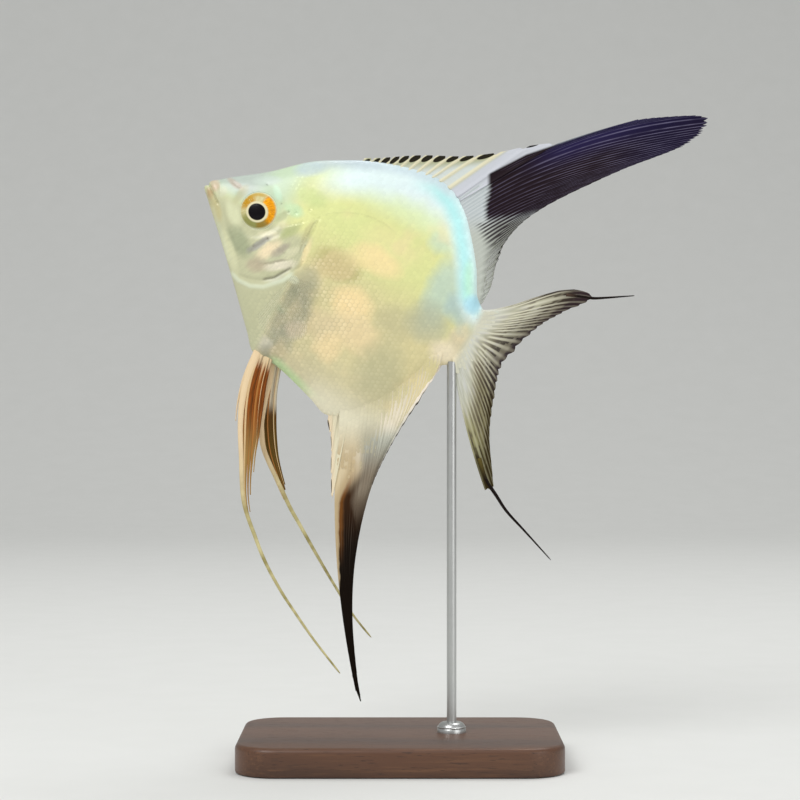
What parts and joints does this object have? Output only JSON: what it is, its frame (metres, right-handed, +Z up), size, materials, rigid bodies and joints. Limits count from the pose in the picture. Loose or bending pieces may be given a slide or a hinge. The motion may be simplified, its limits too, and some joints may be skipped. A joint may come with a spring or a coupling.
{
  "type": "freshwater angelfish display model",
  "caption": "Life-size still model of a freshwater angelfish with tall trailing fins, held by a rod on a flat display base.",
  "frame": {"origin": "centre of the display base's flat underside", "axes": "+Z up; the fish swims towards -X with its head pitched up; its median plane is the X-Z plane, its left side faces -Y"},
  "size_m": [0.1263, 0.054, 0.1614],
  "materials": {
    "pearl_skin": "satin pearly scales, cream to ice blue",
    "eye": "polished, gold and orange iris round a black pupil",
    "pale_fin": "thin, translucent, with pale rays",
    "dark_fin": "purple-black webbing between fine pale rays",
    "rust_fin": "cream rays with rust-brown webbing",
    "stand_wood": "oiled walnut",
    "stand_steel": "satin"
  },
  "bodies": {
    "root": {"head": "pearl_skin", "lower_jaw": "pearl_skin", "gill_cover_left": "pearl_skin", "gill_cover_right": "pearl_skin", "trunk": "pearl_skin", "tail_root": "pearl_skin", "eye_left": "eye", "eye_right": "eye", "fin_dorsal_spiny": "pale_fin", "fin_dorsal_soft": "pale_fin", "fin_anal_spiny": "pale_fin", "fin_anal_soft": "pale_fin", "fin_tail_upper": "pale_fin", "fin_tail_lower": "pale_fin", "fin_pectoral_left": "pale_fin", "fin_pectoral_right": "pale_fin", "fin_dorsal_streamer": "dark_fin", "fin_anal_streamer": "dark_fin", "fin_tail_upper_streamer": "dark_fin", "fin_tail_lower_streamer": "dark_fin", "fin_pelvic_left": "rust_fin", "fin_pelvic_right": "rust_fin", "feeler_left_upper": "rust_fin", "feeler_left_lower": "rust_fin", "feeler_right_upper": "rust_fin", "feeler_right_lower": "rust_fin", "stand_base": "stand_wood", "stand_collar": "stand_steel", "stand_rod": "stand_steel"}
  },
  "joints": []
}
